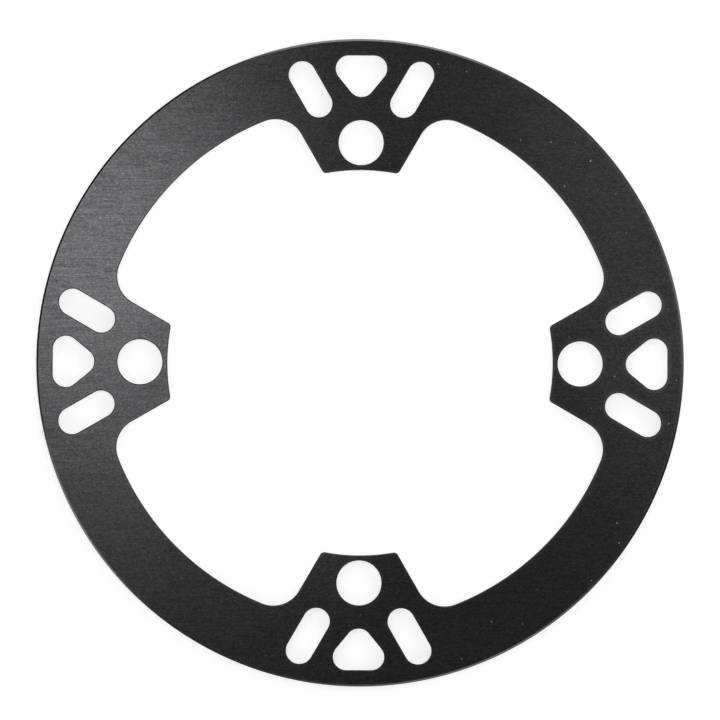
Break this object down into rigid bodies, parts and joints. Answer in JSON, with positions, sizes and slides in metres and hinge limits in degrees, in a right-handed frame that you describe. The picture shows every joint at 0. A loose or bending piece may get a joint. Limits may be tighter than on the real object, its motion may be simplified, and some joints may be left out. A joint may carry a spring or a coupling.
{
  "type": "bicycle chain guard ring",
  "caption": "Flat metal ring that bolts to a crank beside the chainring to keep chain, clothes and rocks apart, with inward tabs for the bolts and milled slots and windows.",
  "frame": {"origin": "centre of the bolt circle, on the back face that the plate lies on", "axes": "+Z out of the plate through its front face, +X along one tab, +Y along the next tab"},
  "size_m": [0.153, 0.153, 0.003],
  "materials": {
    "black_anodised": "brushed in one direction and black anodised, satin"
  },
  "bodies": {
    "root": {"guard_plate": "black_anodised"}
  },
  "joints": []
}
